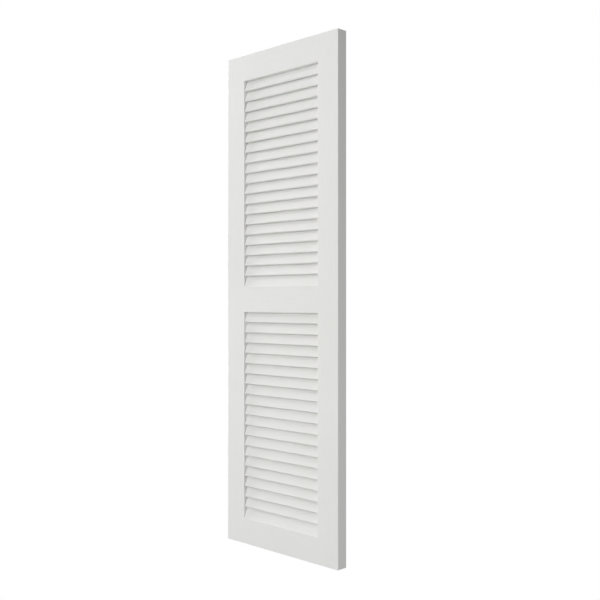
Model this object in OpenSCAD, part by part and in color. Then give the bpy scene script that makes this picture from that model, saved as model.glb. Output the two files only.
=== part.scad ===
// Fixed-louvre shutter panel in painted wood.
// Two stiles and three rails are doweled into a frame with two equal bays. Each bay holds a
// ladder of sloping louvres, whose ends are glued into slanted housings in the stiles.
// +Z is up, the front faces -Y, and the origin is the middle of the panel's foot.

/* [Panel] */
// Overall width
panel_w = 381; // [310:1:470]
// Overall height
panel_h = 1219.2; // [1000:0.1:1480]
// Thickness of the stiles and rails
panel_t = 28.6; // [27:0.1:36]
// Radius on the outer edges of the panel
outer_arris_r = 1.5; // [0.5:0.1:3]
// Radius on the edges around each bay
bay_arris_r = 1; // [0.4:0.1:2]

/* [Stiles and rails] */
// Width of each stile
stile_w = 63.5; // [50:0.5:80]
// Height of the top rail
top_rail_h = 63.5; // [50:0.5:90]
// Height of the middle rail
middle_rail_h = 63.5; // [50:0.5:90]
// Height of the bottom rail
bottom_rail_h = 63.5; // [50:0.5:90]

/* [Louvres] */
// Number of louvres in each bay
bay_louvres = 20; // [17:1:23]
// Width of a louvre along its slope
louvre_w = 41.3; // [36:0.1:46]
// Thickness of a louvre
louvre_t = 6.35; // [5:0.05:7.65]
// Lean of a louvre from the vertical, with its nose to the front
louvre_lean = 20; // [18:0.5:26]
// Radius on the long edges of a louvre
louvre_edge_r = 2; // [0.5:0.1:2.4]
// Setback of the noses from the front of the panel
nose_setback = 2.8; // [1.5:0.1:5]
// Height of the lowest line of noses above the rail below it
sill_rise = 2; // [1:0.1:4]
// Height above a bay at which one more line of noses would lie
head_rise = 1.4; // [0:0.1:4]
// Setback of the lowest louvre's planed foot from the front of its rail
foot_setback = 1.5; // [1.3:0.1:4]
// Depth of the housings in the stiles
housing_depth = 6.5; // [4:0.1:12]

/* [Dowels] */
// Diameter of a dowel
dowel_d = 10; // [8:0.5:12]
// Length of a dowel
dowel_l = 60; // [40:1:80]
// Distance between the two dowels of a joint
dowel_spacing = 32; // [20:1:36]
// Chamfer on the ends of a dowel
dowel_chamfer = 1; // [0.5:0.1:2]

/* [Clearances] */
// Gap between a louvre and the walls of its housing
housing_gap = 0.15; // [0.05:0.05:0.4]
// Gap between a louvre's end and the bottom of its housing
louvre_end_gap = 0.3; // [0.1:0.1:1]
// Gap around a dowel in its hole
dowel_gap = 0.05; // [0.02:0.01:0.2]
// Gap between a dowel's end and the bottom of its hole
dowel_end_gap = 1; // [0.5:0.1:3]

/* [Hidden] */
$fn = 64;

bay_w = panel_w - 2 * stile_w;
bay_h = (panel_h - top_rail_h - middle_rail_h - bottom_rail_h) / 2;
lower_bay_z = bottom_rail_h;
middle_rail_z = lower_bay_z + bay_h;
upper_bay_z = middle_rail_z + middle_rail_h;
top_rail_z = upper_bay_z + bay_h;

louvre_pitch = (bay_h + head_rise - sill_rise) / bay_louvres;
// What is planed off the foot of the lowest louvre, past the rounding of its nose
foot_planing = louvre_edge_r + 0.6;
louvre_l = bay_w + 2 * (housing_depth - louvre_end_gap);

// How far a cutter runs past the surface that it opens
overcut = 1;

paint = [0.90, 0.90, 0.885];
beech = [0.80, 0.66, 0.47];

BAYS = [["upper", upper_bay_z], ["lower", lower_bay_z]];
RAILS = [["top", top_rail_z, top_rail_h],
         ["middle", middle_rail_z, middle_rail_h],
         ["bottom", 0, bottom_rail_h]];

function louvre_name(bay, i) = str("louvre_", bay[0], i < 10 ? "_0" : "_", i);
function rail_middle_z(rail) = rail[1] + rail[2] / 2;

// A rectangle about the origin with rounded corners
module rounded_rect(w, h, r) {
    square([w - 2 * r, h], center = true);
    square([w, h - 2 * r], center = true);
    for (x = [-1, 1], y = [-1, 1])
        translate([x * (w / 2 - r), y * (h / 2 - r)]) circle(r);
}

// Sweeps an outline of the (Y, Z) plane along X, to both sides of the middle
module sweep_x(l) {
    translate([-l / 2, 0, 0]) rotate([90, 0, 90]) linear_extrude(l) children();
}

// ---- Frame ----

// The whole panel without its bays, with every outer edge eased
module panel_blank() {
    intersection() {
        linear_extrude(panel_h) rounded_rect(panel_w, panel_t, outer_arris_r);
        sweep_x(panel_w + overcut)
            translate([0, panel_h / 2]) rounded_rect(panel_t, panel_h, outer_arris_r);
        translate([0, panel_t / 2 + overcut, panel_h / 2]) rotate([90, 0, 0])
            linear_extrude(panel_t + 2 * overcut) rounded_rect(panel_w, panel_h, outer_arris_r);
    }
}

// What easing takes off an edge whose corner is the origin, with the wood towards +x and +y
module arris_waste() {
    difference() {
        translate([-overcut, -overcut]) square(bay_arris_r + overcut);
        translate([bay_arris_r, bay_arris_r]) circle(bay_arris_r);
    }
}

// The same along the foot of a rail above a bay, on the front and the back
module rail_arris_waste() {
    for (face = [0, 1]) mirror([0, face, 0]) translate([0, -panel_t / 2, 0])
        sweep_x(bay_w + overcut) arris_waste();
}

// The same up the inner edge of the left stile beside a bay, on the front and the back
module stile_arris_waste() {
    for (face = [0, 1]) mirror([0, face, 0]) translate([-bay_w / 2, -panel_t / 2, 0])
        mirror([1, 0, 0]) linear_extrude(bay_h) arris_waste();
}

// The holes for the two dowels across the joint of a rail with the left stile
module dowel_holes() {
    for (side = [-1, 1]) translate([-bay_w / 2, 0, side * dowel_spacing / 2]) rotate([0, 90, 0])
        cylinder(d = dowel_d + 2 * dowel_gap, h = dowel_l + 2 * dowel_end_gap, center = true);
}

module stile_left() {
    color(paint) difference() {
        intersection() {
            panel_blank();
            translate([-panel_w / 2, -panel_t / 2, 0]) cube([stile_w, panel_t, panel_h]);
        }
        for (bay = BAYS) {
            translate([0, 0, bay[1]]) stile_arris_waste();
            for (i = [1 : bay_louvres])
                sweep_x(bay_w + 2 * housing_depth) louvre_section(bay, i, housing_gap);
        }
        for (rail = RAILS) translate([0, 0, rail_middle_z(rail)]) dowel_holes();
    }
}

module stile_right() {
    mirror([1, 0, 0]) stile_left();
}

module rail(rail) {
    color(paint) difference() {
        intersection() {
            panel_blank();
            translate([-bay_w / 2, -panel_t / 2, rail[1]]) cube([bay_w, panel_t, rail[2]]);
        }
        if (rail[1] > 0) translate([0, 0, rail[1]]) rail_arris_waste();
        if (rail[1] < top_rail_z)
            translate([0, 0, rail[1] + rail[2]]) mirror([0, 0, 1]) rail_arris_waste();
        for (side = [0, 1]) mirror([side, 0, 0])
            translate([0, 0, rail_middle_z(rail)]) dowel_holes();
    }
}

// ---- Louvres ----

// Outline of a louvre in the (Y, Z) plane, grown by a gap where it is cut as a housing. The
// highest louvre is ripped level under its rail, and the lowest is planed level to bed on its rail.
module louvre_section(bay, i, gap = 0) {
    lowest = i == bay_louvres;
    setback = lowest ? foot_setback : nose_setback;
    front_z = lowest ? bay[1] : bay[1] + sill_rise + (bay_louvres - i) * louvre_pitch;
    planed = lowest ? foot_planing : 0;
    intersection() {
        translate([setback - panel_t / 2, front_z]) rotate(-louvre_lean)
            translate([louvre_t / 2, louvre_w / 2 - planed])
                rounded_rect(louvre_t + 2 * gap, louvre_w + 2 * gap, louvre_edge_r + gap);
        translate([-panel_t / 2, bay[1]]) square([panel_t, bay_h]);
    }
}

module louvre(bay, i) {
    color(paint) sweep_x(louvre_l) louvre_section(bay, i);
}

// ---- Dowels ----

module dowel() {
    r = dowel_d / 2;
    rotate([0, 90, 0]) rotate_extrude() polygon([
        [0, -dowel_l / 2], [r - dowel_chamfer, -dowel_l / 2], [r, dowel_chamfer - dowel_l / 2],
        [r, dowel_l / 2 - dowel_chamfer], [r - dowel_chamfer, dowel_l / 2], [0, dowel_l / 2]
    ]);
}

module dowels(rail) {
    color(beech) for (x = [-1, 1], z = [-1, 1])
        translate([x * bay_w / 2, 0, rail_middle_z(rail) + z * dowel_spacing / 2]) dowel();
}

stile_left();
stile_right();
for (rail = RAILS) {
    rail(rail);
    dowels(rail);
}
for (bay = BAYS, i = [1 : bay_louvres])
    louvre(bay, i);
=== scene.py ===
"""Finishes, paint fillets, studio and camera for a fixed-louvre shutter panel in white enamel.

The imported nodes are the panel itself, so every stile, rail, louvre and dowel stays where the frame
puts it. This script gives each of them its finish, models the paint that has run into the corners
around the louvres' ends, and sets a plain white studio around the panel.
Lengths are in metres, unless a name ends in _mm, and angles are in radians, unless a name ends in
_deg.
"""

import logging
import math
from collections.abc import Callable, Iterable
from dataclasses import dataclass
from enum import Enum
from typing import Any

import bmesh
import bpy
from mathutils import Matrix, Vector


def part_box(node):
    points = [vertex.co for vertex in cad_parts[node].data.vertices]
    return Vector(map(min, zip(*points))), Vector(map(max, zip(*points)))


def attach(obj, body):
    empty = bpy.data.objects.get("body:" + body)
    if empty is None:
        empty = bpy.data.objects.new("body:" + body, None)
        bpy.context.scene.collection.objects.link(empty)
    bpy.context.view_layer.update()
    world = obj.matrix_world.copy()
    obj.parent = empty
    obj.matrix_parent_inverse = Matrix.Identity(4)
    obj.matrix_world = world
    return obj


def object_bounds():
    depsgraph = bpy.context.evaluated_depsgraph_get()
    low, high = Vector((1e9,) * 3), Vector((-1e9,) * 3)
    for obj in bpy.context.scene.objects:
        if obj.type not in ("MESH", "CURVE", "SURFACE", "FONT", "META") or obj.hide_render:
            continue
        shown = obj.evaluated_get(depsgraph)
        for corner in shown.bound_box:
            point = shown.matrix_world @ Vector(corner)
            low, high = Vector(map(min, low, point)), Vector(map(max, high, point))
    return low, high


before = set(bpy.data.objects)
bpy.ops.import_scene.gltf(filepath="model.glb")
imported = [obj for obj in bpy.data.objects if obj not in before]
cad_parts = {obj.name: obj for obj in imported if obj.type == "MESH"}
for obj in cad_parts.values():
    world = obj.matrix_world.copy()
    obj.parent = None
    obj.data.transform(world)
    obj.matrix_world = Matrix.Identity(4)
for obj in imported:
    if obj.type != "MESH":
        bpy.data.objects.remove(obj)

CAD_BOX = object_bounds()
NODES: dict[str, bpy.types.Object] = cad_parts
MM = 0.001

Pair = tuple[float, float]
Triple = tuple[float, float, float]

log = logging.getLogger("louvred_shutter")


# ---- Shading helpers ----

# A Mix node has its sockets once for each data type. These are the ones for colours.
MIX_FIRST_COLOUR = 6
MIX_SECOND_COLOUR = 7
MIXED_COLOUR = 2

# The phase that a wave texture runs through in one unit, at a scale of 1.
WAVE_RADIANS = 20


def linear(hex_colour: str) -> tuple[float, float, float, float]:
    """Turns a colour from sRGB to the linear values that a shader takes.

    Args:
        hex_colour: The colour as "#RRGGBB".

    Returns:
        Red, green, blue and an alpha of 1.
    """
    channels = [int(hex_colour[start:start + 2], 16) / 255 for start in (1, 3, 5)]
    # The sRGB curve is a straight line for the darkest values and a power above them.
    red, green, blue = (
        c / 12.92 if c <= 0.04045 else ((c + 0.055) / 1.055) ** 2.4 for c in channels
    )
    return red, green, blue, 1.0


def add_node(
    tree: bpy.types.NodeTree, kind: str, inputs: dict[str | int, Any], **settings: Any
) -> bpy.types.Node:
    """Adds a node to a tree, with its settings and what its sockets hold or read.

    Args:
        tree: The tree that gets the node.
        kind: The node's Blender type.
        inputs: A value, or the output that is linked to it, for each input socket.
        **settings: The node's own properties.

    Returns:
        The new node.
    """
    made = tree.nodes.new(kind)
    for name, value in settings.items():
        setattr(made, name, value)
    for socket, value in inputs.items():
        if isinstance(value, bpy.types.NodeSocket):
            tree.links.new(value, made.inputs[socket])
        else:
            made.inputs[socket].default_value = value
    return made


def empty_material(name: str) -> bpy.types.Material:
    """Makes a material with a bare node tree.

    Args:
        name: The finish's name.

    Returns:
        The material.
    """
    material = bpy.data.materials.new(name)
    material.use_nodes = True
    material.node_tree.nodes.clear()
    return material


# ---- Finishes ----


class Grain(Enum):
    """The way that the wood's fibres run in a piece."""

    UPRIGHT = "Z"
    ACROSS = "X"

    def stretch(self, across_mm: float, along_mm: float) -> Triple:
        """Finds the pattern scale whose spots are long with the grain.

        Args:
            across_mm: The size of a spot across the grain.
            along_mm: The size of a spot with the grain.

        Returns:
            The scale along X, Y and Z, in spots for each metre.
        """
        across, along = 1 / (across_mm * MM), 1 / (along_mm * MM)
        return (across, across, along) if self is Grain.UPRIGHT else (along, across, across)


@dataclass(frozen=True)
class PaintedWood:
    """White satin enamel, sprayed over primer on planed poplar.

    The eye gets a soft, even white with a broad sheen. Close by, the film has a fine orange peel,
    and the fibres and growth rings under it just show through. Where a rail's shoulders meet the
    stiles, the paint sinks into the joint in a hair-thin crease.
    """

    name: str
    grain: Grain
    heart_mm: Triple = (0.0, 0.0, 0.0)  # the way from the tree's heart to the panel's origin
    film: str = "#E7E7E5"
    film_on_pores: str = "#DFDFDB"
    ior: float = 1.5
    roughness: float = 0.42
    roughness_change: Pair = (-0.04, 0.10)  # for the thickest and the thinnest film
    pore_mm: float = 1.6  # a real pore is 0.2 mm wide, and is drawn wide enough to show
    pore_length_mm: float = 60.0
    pore_depth_mm: float = 0.05
    pore_noise: Pair = (0.52, 0.74)  # the noise at a pore's rim and in its bed
    pore_thinning: float = 0.55  # how much thinner the film is on a pore
    ring_mm: float = 9.0
    ring_height_mm: float = 0.03
    ring_wander: float = 6.0  # how far the rings stray from true circles
    ring_wander_scale: float = 0.12
    peel_mm: float = 3.0  # real orange peel is 1 mm, and is drawn coarse enough to show
    peel_height_mm: float = 0.02
    mottle_mm: float = 220.0
    tint_thinness: Pair = (0.35, 1.25)  # where the colour starts and ends its change
    sheen_thinness: Pair = (0.2, 1.3)  # where the roughness starts and ends its change
    shoulder_mm: float = 0.0  # how far from the middle a rail's shoulders are, or 0 for none
    crease_mm: float = 0.6  # a real crease is 0.2 mm wide, and is drawn wide enough to show
    crease_depth_mm: float = 0.12

    def material(self) -> bpy.types.Material:
        """Builds the paint's node tree.

        Returns:
            The material.
        """
        made = empty_material(self.name)
        tree = made.node_tree
        place = add_node(tree, "ShaderNodeTexCoord", {}).outputs["Object"]
        pores = self.pores(tree, place)
        thinness = self.thinness(tree, place, pores)
        shader = add_node(
            tree, "ShaderNodeBsdfPrincipled",
            {
                "Base Color": self.colour(tree, thinness),
                "Roughness": self.sheen(tree, thinness),
                "IOR": self.ior,
                "Normal": self.relief(tree, place, pores),
            },
        )
        add_node(tree, "ShaderNodeOutputMaterial", {"Surface": shader.outputs[0]})
        return made

    def pores(
        self, tree: bpy.types.NodeTree, place: bpy.types.NodeSocket
    ) -> bpy.types.NodeSocket:
        """Draws the wood's open pores as fine lines that run with the grain.

        Args:
            tree: The tree that gets the nodes.
            place: The output with the object coordinates.

        Returns:
            An output that is 1 in a pore's bed and 0 between the pores.
        """
        fibres = add_node(
            tree, "ShaderNodeMapping",
            {"Vector": place, "Scale": self.grain.stretch(self.pore_mm, self.pore_length_mm)},
        )
        noise = add_node(
            tree, "ShaderNodeTexNoise",
            {"Vector": fibres.outputs[0], "Scale": 1.0, "Detail": 2.0, "Roughness": 0.6},
        )
        rim, bed = self.pore_noise
        mask = add_node(
            tree, "ShaderNodeMapRange",
            {"Value": noise.outputs["Fac"], "From Min": rim, "From Max": bed},
        )
        return mask.outputs[0]

    def thinness(
        self,
        tree: bpy.types.NodeTree,
        place: bpy.types.NodeSocket,
        pores: bpy.types.NodeSocket,
    ) -> bpy.types.NodeSocket:
        """Says how thin the film lies, in broad patches and on the pores.

        Args:
            tree: The tree that gets the nodes.
            place: The output with the object coordinates.
            pores: The output that is 1 in a pore.

        Returns:
            An output that grows where the film is thinner.
        """
        mottle = add_node(
            tree, "ShaderNodeTexNoise",
            {"Vector": place, "Scale": 1 / (self.mottle_mm * MM), "Detail": 2.0},
        )
        patchy = add_node(
            tree, "ShaderNodeMath",
            {0: pores, 1: self.pore_thinning, 2: mottle.outputs["Fac"]},
            operation="MULTIPLY_ADD",
        )
        return patchy.outputs[0]

    def colour(
        self, tree: bpy.types.NodeTree, thinness: bpy.types.NodeSocket
    ) -> bpy.types.NodeSocket:
        """Tints the film a little where it is thin.

        Args:
            tree: The tree that gets the nodes.
            thinness: The output that says how thin the film is.

        Returns:
            The colour's output.
        """
        start, end = self.tint_thinness
        share = add_node(
            tree, "ShaderNodeMapRange",
            {"Value": thinness, "From Min": start, "From Max": end},
        )
        tint = add_node(
            tree, "ShaderNodeMix",
            {
                "Factor": share.outputs[0],
                MIX_FIRST_COLOUR: linear(self.film),
                MIX_SECOND_COLOUR: linear(self.film_on_pores),
            },
            data_type="RGBA",
        )
        return tint.outputs[MIXED_COLOUR]

    def sheen(
        self, tree: bpy.types.NodeTree, thinness: bpy.types.NodeSocket
    ) -> bpy.types.NodeSocket:
        """Dulls the film a little where it is thin.

        Args:
            tree: The tree that gets the nodes.
            thinness: The output that says how thin the film is.

        Returns:
            The roughness's output.
        """
        start, end = self.sheen_thinness
        smoother, rougher = self.roughness_change
        roughness = add_node(
            tree, "ShaderNodeMapRange",
            {
                "Value": thinness,
                "From Min": start,
                "From Max": end,
                "To Min": self.roughness + smoother,
                "To Max": self.roughness + rougher,
            },
        )
        return roughness.outputs[0]

    def relief(
        self,
        tree: bpy.types.NodeTree,
        place: bpy.types.NodeSocket,
        pores: bpy.types.NodeSocket,
    ) -> bpy.types.NodeSocket:
        """Stacks the growth rings, the orange peel, the pores and any crease as bumps.

        Args:
            tree: The tree that gets the nodes.
            place: The output with the object coordinates.
            pores: The output that is 1 in a pore.

        Returns:
            The output with the bumped normal.
        """
        layers = [
            (self.rings(tree, place), self.ring_height_mm),
            (self.orange_peel(tree, place), self.peel_height_mm),
            (pores, -self.pore_depth_mm),
        ]
        if self.shoulder_mm:
            layers.append((self.shoulder_crease(tree, place), -self.crease_depth_mm))
        below: dict[str | int, Any] = {}
        for height, height_mm in layers:
            bump = add_node(
                tree, "ShaderNodeBump",
                {"Height": height, "Strength": 1.0, "Distance": abs(height_mm) * MM, **below},
                invert=height_mm < 0,
            )
            below = {"Normal": bump.outputs[0]}
        return below["Normal"]

    def rings(
        self, tree: bpy.types.NodeTree, place: bpy.types.NodeSocket
    ) -> bpy.types.NodeSocket:
        """Draws the growth rings around the heart of the tree.

        Args:
            tree: The tree that gets the nodes.
            place: The output with the object coordinates.

        Returns:
            An output that rises from 0 to 1 through each ring.
        """
        heart = add_node(
            tree, "ShaderNodeMapping",
            {"Vector": place, "Location": [c * MM for c in self.heart_mm]},
        )
        growth = add_node(
            tree, "ShaderNodeTexWave",
            {
                "Vector": heart.outputs[0],
                "Scale": math.tau / WAVE_RADIANS / (self.ring_mm * MM),
                "Distortion": self.ring_wander,
                "Detail": 1.0,
                "Detail Scale": self.ring_wander_scale,
            },
            wave_type="RINGS", rings_direction=self.grain.value, wave_profile="SAW",
        )
        return growth.outputs["Fac"]

    def orange_peel(
        self, tree: bpy.types.NodeTree, place: bpy.types.NodeSocket
    ) -> bpy.types.NodeSocket:
        """Draws the low bumps that sprayed paint dries with.

        Args:
            tree: The tree that gets the nodes.
            place: The output with the object coordinates.

        Returns:
            An output that is high on a bump and low between the bumps.
        """
        peel = add_node(
            tree, "ShaderNodeTexNoise",
            {"Vector": place, "Scale": 1 / (self.peel_mm * MM), "Detail": 1.0, "Roughness": 0.4},
        )
        return peel.outputs["Fac"]

    def shoulder_crease(
        self, tree: bpy.types.NodeTree, place: bpy.types.NodeSocket
    ) -> bpy.types.NodeSocket:
        """Marks the line where the paint sinks into the joint at each end of a rail.

        Args:
            tree: The tree that gets the nodes.
            place: The output with the object coordinates.

        Returns:
            An output that is 1 in the crease and 0 away from it.
        """
        axes = add_node(tree, "ShaderNodeSeparateXYZ", {0: place})
        reach = add_node(tree, "ShaderNodeMath", {0: axes.outputs["X"]}, operation="ABSOLUTE")
        crease = add_node(
            tree, "ShaderNodeMapRange",
            {
                "Value": reach.outputs[0],
                "From Min": (self.shoulder_mm - self.crease_mm) * MM,
                "From Max": self.shoulder_mm * MM,
            },
            interpolation_type="SMOOTHSTEP",
        )
        return crease.outputs[0]


@dataclass(frozen=True)
class TurnedBeech:
    """Bare beech rod, turned and left unfinished.

    The eye gets a dull, pale pinkish brown with short darker flecks that run with the rod.
    """

    name: str
    wood: str = "#D8B78C"
    fleck: str = "#A97C50"
    ior: float = 1.5
    roughness: float = 0.7
    fleck_mm: float = 0.6
    fleck_length_mm: float = 4.0
    fleck_depth_mm: float = 0.03
    fleck_noise: Pair = (0.5, 0.7)  # the noise at a fleck's rim and in its middle

    def material(self) -> bpy.types.Material:
        """Builds the beech's node tree.

        Returns:
            The material.
        """
        made = empty_material(self.name)
        tree = made.node_tree
        place = add_node(tree, "ShaderNodeTexCoord", {}).outputs["Object"]
        fibres = add_node(
            tree, "ShaderNodeMapping",
            {"Vector": place, "Scale": Grain.ACROSS.stretch(self.fleck_mm, self.fleck_length_mm)},
        )
        noise = add_node(
            tree, "ShaderNodeTexNoise", {"Vector": fibres.outputs[0], "Scale": 1.0, "Detail": 3.0}
        )
        rim, middle = self.fleck_noise
        flecks = add_node(
            tree, "ShaderNodeMapRange",
            {"Value": noise.outputs["Fac"], "From Min": rim, "From Max": middle},
        )
        colour = add_node(
            tree, "ShaderNodeMix",
            {
                "Factor": flecks.outputs[0],
                MIX_FIRST_COLOUR: linear(self.wood),
                MIX_SECOND_COLOUR: linear(self.fleck),
            },
            data_type="RGBA",
        )
        relief = add_node(
            tree, "ShaderNodeBump",
            {"Height": flecks.outputs[0], "Strength": 1.0, "Distance": self.fleck_depth_mm * MM},
            invert=True,
        )
        shader = add_node(
            tree, "ShaderNodeBsdfPrincipled",
            {
                "Base Color": colour.outputs[MIXED_COLOUR],
                "Roughness": self.roughness,
                "IOR": self.ior,
                "Normal": relief.outputs[0],
            },
        )
        add_node(tree, "ShaderNodeOutputMaterial", {"Surface": shader.outputs[0]})
        return made


# ---- The panel ----


def node_names(start: str) -> list[str]:
    """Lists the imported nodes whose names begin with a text, in order."""
    return sorted(name for name in NODES if name.startswith(start))


def wear(piece: bpy.types.Object, material: bpy.types.Material) -> bpy.types.Object:
    """Puts a material in every slot of a piece, or in a first slot if it has none.

    Args:
        piece: The piece that is dressed.
        material: The finish that it wears.

    Returns:
        The piece.
    """
    if not piece.material_slots:
        piece.data.materials.append(material)
    for slot in piece.material_slots:
        slot.material = material
    return piece


@dataclass(frozen=True)
class Board:
    """A stile or a rail, sawn from its own place in the tree."""

    name: str
    grain: Grain
    heart_mm: Triple

    def dress(self) -> bpy.types.Object:
        """Paints the board, with a crease at the shoulders of a rail.

        Returns:
            The painted node.
        """
        shoulder_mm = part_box(self.name)[1].x / MM if self.grain is Grain.ACROSS else 0.0
        finish = PaintedWood(
            f"white_enamel_on_{self.name}", self.grain, self.heart_mm, shoulder_mm=shoulder_mm
        )
        return wear(NODES[self.name], finish.material())


@dataclass
class StileAndRailFrame:
    """The two stiles, with upright grain, and the three rails between them."""

    boards: tuple[Board, ...] = (
        Board("stile_left", Grain.UPRIGHT, (150.0, 95.0, 0.0)),
        Board("stile_right", Grain.UPRIGHT, (-175.0, 60.0, 0.0)),
        Board("rail_top", Grain.ACROSS, (0.0, 70.0, -1150.0)),
        Board("rail_middle", Grain.ACROSS, (0.0, 110.0, -640.0)),
        Board("rail_bottom", Grain.ACROSS, (0.0, 80.0, -75.0)),
    )

    def dress(self) -> list[bpy.types.Object]:
        """Paints each board and lists them."""
        return [board.dress() for board in self.boards]


class Bay(Enum):
    """One of the two openings between the rails."""

    UPPER = "upper"
    LOWER = "lower"

    def louvres(self) -> list[str]:
        """Lists the bay's louvres from the top down."""
        return node_names(f"louvre_{self.value}_")


@dataclass
class LouvreLadder:
    """One bay's ladder of louvres, all ripped from the same board."""

    bay: Bay
    heart_mm: Triple

    def dress(self) -> list[bpy.types.Object]:
        """Paints the louvres, with the grain along them.

        Returns:
            The painted nodes.
        """
        paint = PaintedWood(
            f"white_enamel_on_{self.bay.value}_louvres", Grain.ACROSS, self.heart_mm
        ).material()
        return [wear(NODES[name], paint) for name in self.bay.louvres()]


class StileSide(Enum):
    """The stile that a louvre's end is housed in."""

    LEFT = "left"
    RIGHT = "right"

    def inner_face(self) -> float:
        """Finds the X of the stile's inner face, where the rails' shoulders meet it."""
        lowest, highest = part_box("rail_middle")
        return lowest.x if self is StileSide.LEFT else highest.x

    def turn(self) -> float:
        """Finds the turn about Z that brings a piece from facing +X to facing the bay."""
        return 0.0 if self is StileSide.LEFT else math.pi


# The middles of a ring's front and back are its only faces with more corners than this.
QUAD_CORNERS = 4


class MeshPart(Enum):
    """What is selected in edit mode, by the name of its list in a mesh."""

    EDGE = "edges"
    FACE = "faces"


def select_parts(
    piece: bpy.types.Object, part: MeshPart, wanted: Callable[[Any], bool]
) -> None:
    """Selects some edges or faces of a piece in edit mode, and nothing else.

    Args:
        piece: The piece in edit mode.
        part: Whether its edges or its faces are looked at.
        wanted: Says whether an edge or face is selected.
    """
    bpy.ops.mesh.select_mode(type=part.name)
    bpy.ops.mesh.select_all(action="DESELECT")
    shape = bmesh.from_edit_mesh(piece.data)
    for element in getattr(shape, part.value):
        if wanted(element):
            element.select_set(True)
    shape.select_flush_mode()
    bmesh.update_edit_mesh(piece.data)


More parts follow.
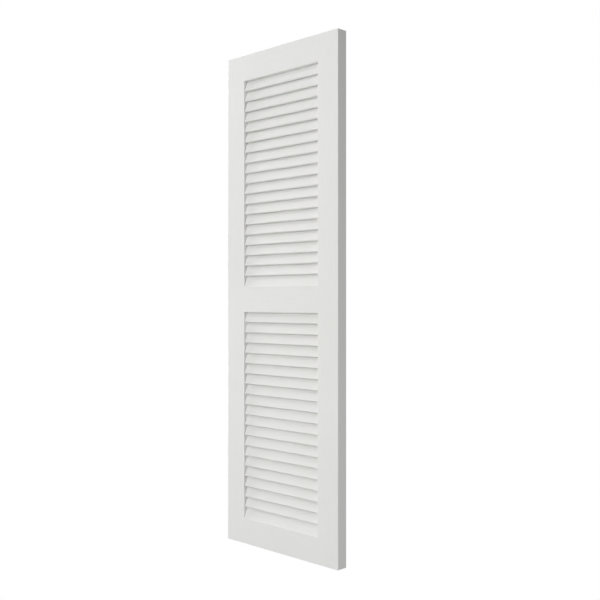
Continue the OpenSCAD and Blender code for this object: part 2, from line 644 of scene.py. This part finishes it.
@dataclass
class PaintFillets:
    """The paint that has run into the corners around the louvres' ends.

    Each louvre end has a ring of paint around it, hollow in section like a small cove. The rings of
    one bay on one stile are one piece.
    """

    louvre_w: float = 41.3 * MM
    louvre_t: float = 6.35 * MM
    louvre_edge_r: float = 2.0 * MM
    louvre_lean_deg: float = 20.0
    leg: float = 0.8 * MM  # how far the paint reaches along the stile and along the louvre
    bite: float = 0.1 * MM  # how far it runs on into each of them, so that no gap shows
    # Where the cove passes between its ends: how far from the louvre and the stile, in legs.
    hollow: tuple[Pair, ...] = ((0.5, 0.15), (0.2, 0.4))
    corner_segments: int = 4
    facing: float = 0.9  # the least part of a face's normal along X, for it to face that way
    smooth_deg: float = 50.0  # the sharpest bend that is shaded smooth
    finish: PaintedWood = PaintedWood(
        "white_enamel_fillet", Grain.UPRIGHT, film_on_pores="#E7E7E5",
        pore_depth_mm=0.0, ring_height_mm=0.0,
    )

    def round_corners(self, ring: bpy.types.Object) -> None:
        """Rounds the four corners of the plate to follow the louvre's edges.

        Args:
            ring: The plate, in edit mode.
        """
        # The plate is one bite thick, and only the edges at its corners run along X.
        select_parts(
            ring, MeshPart.EDGE,
            lambda edge: abs((edge.verts[0].co - edge.verts[1].co).x) > self.bite / 2,
        )
        bpy.ops.mesh.bevel(offset=self.louvre_edge_r + self.leg, segments=self.corner_segments)

    def raise_cove(self, ring: bpy.types.Object) -> None:
        """Draws the plate's front up to the louvre in a hollow curve.

        Args:
            ring: The plate with round corners, in edit mode.
        """
        select_parts(ring, MeshPart.FACE, lambda face: face.normal.x > self.facing)
        steps = [(across * self.leg, out * self.leg) for across, out in self.hollow]
        # The last step ends inside the louvre.
        steps.append((-self.bite, self.leg))
        last_across, last_out = self.leg, 0.0
        for across, out in steps:
            bpy.ops.mesh.inset(thickness=last_across - across, use_even_offset=True)
            bpy.ops.transform.translate(value=(out - last_out, 0.0, 0.0))
            last_across, last_out = across, out

    def open_middle(self, ring: bpy.types.Object) -> None:
        """Opens the ring for the louvre, from its back through to its front.

        Args:
            ring: The ring with its cove, in edit mode.
        """
        select_parts(ring, MeshPart.FACE, lambda face: face.normal.x < -self.facing)
        bpy.ops.mesh.inset(thickness=self.leg + self.bite, use_even_offset=True)
        select_parts(ring, MeshPart.FACE, lambda face: len(face.verts) > QUAD_CORNERS)
        bpy.ops.mesh.bridge_edge_loops()

    def build_ring(self) -> bpy.types.Object:
        """Models the ring around an upright louvre end, facing +X from a stile at X = 0.

        Returns:
            The ring.
        """
        bpy.ops.object.select_all(action="DESELECT")
        bpy.ops.mesh.primitive_cube_add(size=1.0, location=(-self.bite / 2, 0.0, 0.0))
        ring = bpy.context.object
        ring.scale = (self.bite, self.louvre_t + 2 * self.leg, self.louvre_w + 2 * self.leg)
        bpy.ops.object.transform_apply(location=True, rotation=True, scale=True)
        bpy.ops.object.mode_set(mode="EDIT")
        self.round_corners(ring)
        self.raise_cove(ring)
        self.open_middle(ring)
        bpy.ops.mesh.select_all(action="SELECT")
        bpy.ops.mesh.normals_make_consistent(inside=False)
        bpy.ops.object.mode_set(mode="OBJECT")
        bpy.ops.object.shade_smooth_by_angle(angle=math.radians(self.smooth_deg))
        return ring

    def louvre_centres(self, bay: Bay, side: StileSide) -> list[Vector]:
        """Finds the middle of each louvre's section, on the stile's inner face.

        The top louvre is cut by its rail and the lowest one is planed to sit on its rail, so the
        middle is measured from the corner of the louvre that is whole.

        Args:
            bay: The bay that the louvres are in.
            side: The stile that their ends are housed in.

        Returns:
            The middles, from the top down.
        """
        lean = math.radians(self.louvre_lean_deg)
        flat_w = self.louvre_w - 2 * self.louvre_edge_r
        flat_t = self.louvre_t - 2 * self.louvre_edge_r
        half = Vector((
            0.0,
            (flat_w * math.sin(lean) + flat_t * math.cos(lean)) / 2 + self.louvre_edge_r,
            (flat_w * math.cos(lean) + flat_t * math.sin(lean)) / 2 + self.louvre_edge_r,
        ))
        *upper, lowest = bay.louvres()
        centres = [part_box(name)[0] + half for name in upper]
        centres.append(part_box(lowest)[1] - half)
        for centre in centres:
            centre.x = side.inner_face()
        return centres

    def copy_to_louvres(
        self, ring: bpy.types.Object, bay: Bay, side: StileSide
    ) -> bpy.types.Object:
        """Copies the ring to each louvre end of one bay on one stile, as one piece.

        Args:
            ring: The ring as it was modelled.
            bay: The bay that gets the copies.
            side: The stile that they sit on.

        Returns:
            The finished piece, undressed.
        """
        bpy.ops.object.select_all(action="DESELECT")
        copies = []
        for centre in self.louvre_centres(bay, side):
            copy = ring.copy()
            copy.data = ring.data.copy()
            copy.rotation_mode = "ZYX"  # a ring is turned to its bay before it leans
            copy.rotation_euler = (-math.radians(self.louvre_lean_deg), 0.0, side.turn())
            copy.location = centre
            bpy.context.scene.collection.objects.link(copy)
            copy.select_set(True)
            copies.append(copy)
        made = copies[0]
        bpy.context.view_layer.objects.active = made
        bpy.ops.object.transform_apply(location=True, rotation=True, scale=True)
        bpy.ops.object.join()
        made.name = f"paint_fillets_{bay.value}_{side.value}"
        made.data.name = made.name
        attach(made, "root")
        return made

    def build(self) -> list[bpy.types.Object]:
        """Models the ring once, copies it to every louvre end and dresses the pieces.

        Returns:
            The four pieces.
        """
        ring = self.build_ring()
        enamel = self.finish.material()
        pieces = [
            wear(self.copy_to_louvres(ring, bay, side), enamel) for bay in Bay for side in StileSide
        ]
        bpy.data.objects.remove(ring, do_unlink=True)
        return pieces


@dataclass
class JointDowels:
    """The dowels inside the stile and rail joints, left bare."""

    finish: TurnedBeech = TurnedBeech("turned_beech")

    def dress(self) -> list[bpy.types.Object]:
        """Gives every dowel group the same beech and lists the groups."""
        beech = self.finish.material()
        return [wear(NODES[name], beech) for name in node_names("dowels_")]


# ---- The studio ----


@dataclass(frozen=True)
class Softbox:
    """A rectangular soft light that faces the panel's middle."""

    name: str
    azimuth_deg: float
    height: float
    watts: float
    distance: float = 2.4
    width: float = 1.0
    tall: float = 0.8

    def build(self, aim: Vector) -> bpy.types.Object:
        """Makes the light, out of the camera's sight.

        Args:
            aim: The point that the light faces.

        Returns:
            The light's object.
        """
        lamp = bpy.data.lights.new(self.name, "AREA")
        lamp.shape = "RECTANGLE"
        lamp.size = self.width
        lamp.size_y = self.tall
        lamp.energy = self.watts
        made = bpy.data.objects.new(self.name, lamp)
        bpy.context.scene.collection.objects.link(made)
        turn = math.radians(self.azimuth_deg)
        made.location = (
            aim.x + self.distance * math.sin(turn),
            aim.y - self.distance * math.cos(turn),
            self.height,
        )
        made.rotation_euler = (aim - made.location).to_track_quat("-Z", "Y").to_euler()
        made.visible_camera = False
        return made


@dataclass
class Studio:
    """A white room: a luminous floor that runs out of sight, and softboxes around the panel."""

    floor_half: float = 8.0
    floor_glow: float = 0.5
    room_glow: float = 0.15
    white: str = "#FFFFFF"
    softboxes: tuple[Softbox, ...] = (
        Softbox("left_low_softbox", azimuth_deg=-90.0, height=0.1, watts=59.0),
        Softbox("left_high_softbox", azimuth_deg=-90.0, height=1.8, watts=57.0),
        Softbox("front_low_softbox", azimuth_deg=0.0, height=0.1, watts=18.0),
        Softbox(
            "front_far_softbox", azimuth_deg=0.0, height=2.66, watts=108.0,
            distance=5.64, width=1.6, tall=1.2,
        ),
        Softbox(
            "overhead_softbox", azimuth_deg=0.0, height=5.52, watts=78.0,
            distance=3.44, width=1.6, tall=1.2,
        ),
        Softbox("right_low_softbox", azimuth_deg=90.0, height=0.1, watts=18.0),
        Softbox("back_left_softbox", azimuth_deg=-135.0, height=1.5, watts=38.0, width=1.4),
    )

    def add_glow(
        self, tree: bpy.types.NodeTree, source: str, strength: float
    ) -> bpy.types.NodeSocket:
        """Makes a glow that is white to the camera and dimmer as a light.

        Args:
            tree: The tree that gets the nodes.
            source: The Blender type of the node that shines.
            strength: How strong the glow is as a light.

        Returns:
            The glow's output.
        """
        seen = add_node(tree, source, {"Color": linear(self.white), "Strength": 1.0})
        cast = add_node(tree, source, {"Color": linear(self.white), "Strength": strength})
        ray = add_node(tree, "ShaderNodeLightPath", {})
        mixed = add_node(
            tree, "ShaderNodeMixShader",
            {0: ray.outputs["Is Camera Ray"], 1: cast.outputs[0], 2: seen.outputs[0]},
        )
        return mixed.outputs[0]

    def build_floor(self) -> bpy.types.Object:
        """Makes the floor that the panel stands on, a lit table of white acrylic.

        Returns:
            The floor.
        """
        bpy.ops.object.select_all(action="DESELECT")
        bpy.ops.mesh.primitive_plane_add(size=2 * self.floor_half, location=(0.0, 0.0, CAD_BOX[0].z))
        floor = bpy.context.object
        floor.name = "floor"
        bpy.ops.object.transform_apply(location=True, rotation=True, scale=True)
        material = empty_material("white_acrylic_light_table")
        glow = self.add_glow(material.node_tree, "ShaderNodeEmission", self.floor_glow)
        add_node(material.node_tree, "ShaderNodeOutputMaterial", {"Surface": glow})
        floor.data.materials.append(material)
        return floor

    def build_room(self) -> bpy.types.World:
        """Makes the white room around the panel.

        Returns:
            The world.
        """
        room = bpy.data.worlds.new("white_room")
        room.use_nodes = True
        room.node_tree.nodes.clear()
        glow = self.add_glow(room.node_tree, "ShaderNodeBackground", self.room_glow)
        add_node(room.node_tree, "ShaderNodeOutputWorld", {"Surface": glow})
        bpy.context.scene.world = room
        return room

    def build(self) -> list[bpy.types.ID]:
        """Makes the floor, the room and the lights, and shows whites as they are.

        Returns:
            What was made.
        """
        bpy.context.scene.view_settings.view_transform = "Standard"
        aim = (CAD_BOX[0] + CAD_BOX[1]) / 2
        made = [self.build_floor(), self.build_room()]
        made.extend(softbox.build(aim) for softbox in self.softboxes)
        return made


@dataclass
class Viewpoint:
    """A level camera that looks at the panel's front from halfway to its right side."""

    azimuth_deg: float = 45.0
    distance: float = 2.1292
    aside: float = 0.0395  # how far right of the panel's middle the camera stands
    lower: float = 0.0015  # how far below the panel's middle it is
    lens_mm: float = 53.0

    def build(self) -> bpy.types.Object:
        """Makes the scene's camera.

        Returns:
            The camera's object.
        """
        turn = math.radians(self.azimuth_deg)
        back = Vector((math.sin(turn), -math.cos(turn), 0.0))
        right = Vector((math.cos(turn), math.sin(turn), 0.0))
        drop = Vector((0.0, 0.0, self.lower))
        middle = (CAD_BOX[0] + CAD_BOX[1]) / 2
        camera = bpy.data.objects.new("camera", bpy.data.cameras.new("camera"))
        bpy.context.scene.collection.objects.link(camera)
        camera.data.lens = self.lens_mm
        camera.location = middle + back * self.distance + right * self.aside - drop
        camera.rotation_euler = back.to_track_quat("Z", "Y").to_euler()
        bpy.context.scene.camera = camera
        return camera


# ---- Making it all ----


def report(pieces: Iterable[bpy.types.Object]) -> None:
    """Logs each piece with the finish that it wears."""
    for piece in pieces:
        log.info("%s wears %s", piece.name, piece.material_slots[0].material.name)


def main() -> None:
    """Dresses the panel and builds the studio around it."""
    logging.basicConfig(level=logging.INFO, format="%(name)s: %(message)s")
    report(StileAndRailFrame().dress())
    report(LouvreLadder(Bay.UPPER, heart_mm=(0.0, 60.0, -700.0)).dress())
    report(LouvreLadder(Bay.LOWER, heart_mm=(0.0, 45.0, 90.0)).dress())
    report(PaintFillets().build())
    report(JointDowels().dress())
    for made in Studio().build():
        log.info("the studio has %s", made.name)
    log.info("the view is from %s", Viewpoint().build().name)


if __name__ == "__main__":
    main()
